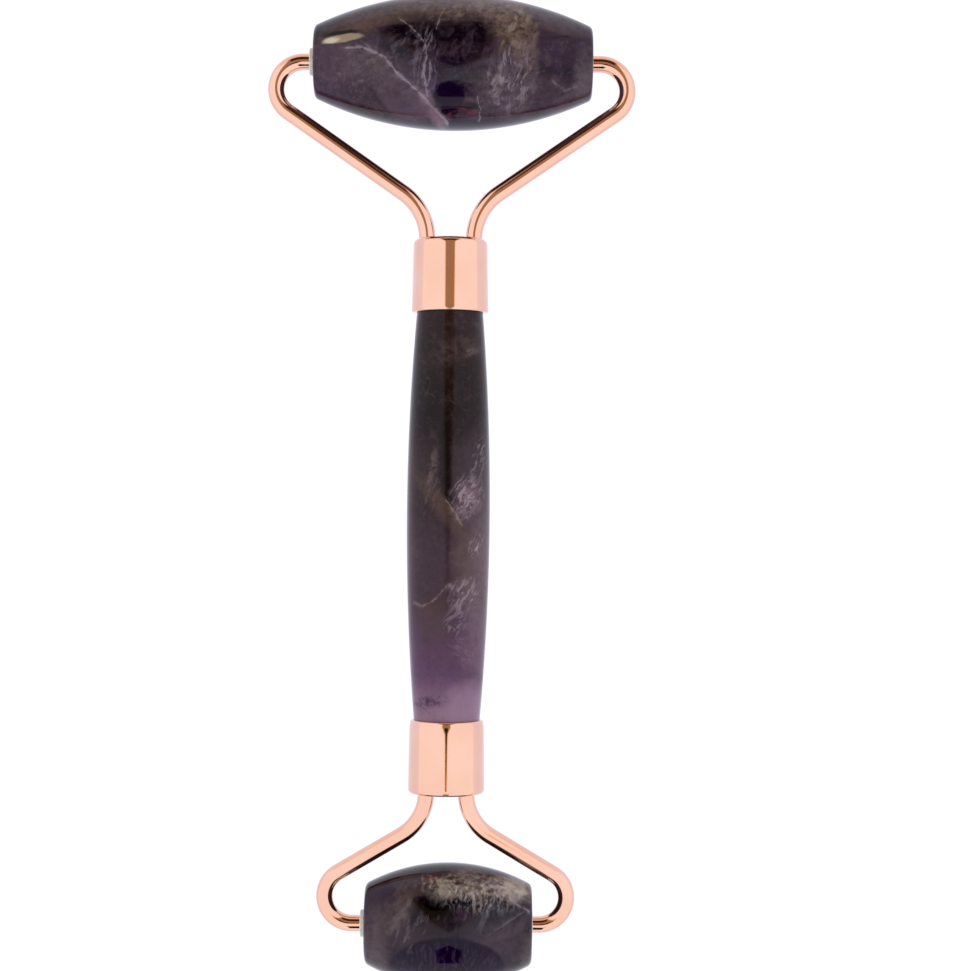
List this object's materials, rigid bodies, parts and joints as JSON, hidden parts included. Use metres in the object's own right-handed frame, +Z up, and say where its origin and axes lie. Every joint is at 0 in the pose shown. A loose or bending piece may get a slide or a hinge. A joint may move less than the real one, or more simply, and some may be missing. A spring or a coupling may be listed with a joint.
{
  "type": "dual-ended stone face roller",
  "caption": "Hand-held face massage roller: a turned amethyst handle with a barrel-shaped stone roller spinning in a rose-gold wire fork at each end.",
  "frame": {"origin": "middle of the outline, on the plane that both stones rest on", "axes": "+X along the roller axles, +Y along the handle towards the large roller, +Z up from the surface that the stones lie on"},
  "size_m": [0.055, 0.1482, 0.0201],
  "materials": {
    "handle_stone": "polished",
    "large_stone": "polished",
    "small_stone": "polished",
    "rose_gold": "polished",
    "rose_gold_wire": "polished",
    "bush_plastic": "satin",
    "braze": "satin",
    "cement": "matte"
  },
  "bodies": {
    "frame": {"handle": "handle_stone", "large_ferrule": "rose_gold", "small_ferrule": "rose_gold", "large_left_arm": "rose_gold_wire", "large_right_arm": "rose_gold_wire", "small_left_arm": "rose_gold_wire", "small_right_arm": "rose_gold_wire", "large_braze": "braze", "small_braze": "braze", "large_cement": "cement", "small_cement": "cement"},
    "large_roller_body": {"large_roller": "large_stone", "large_left_bush": "bush_plastic", "large_right_bush": "bush_plastic"},
    "small_roller_body": {"small_roller": "small_stone", "small_left_bush": "bush_plastic", "small_right_bush": "bush_plastic"}
  },
  "joints": [
    {"name": "large_roller_spin", "type": "hinge", "parent": "frame", "child": "large_roller_body", "pos_m": [0, 0.0641, 0.01005], "axis": [1, 0, 0], "continuous": true},
    {"name": "small_roller_spin", "type": "hinge", "parent": "frame", "child": "small_roller_body", "pos_m": [0, -0.065, 0.00915], "axis": [1, 0, 0], "continuous": true}
  ]
}
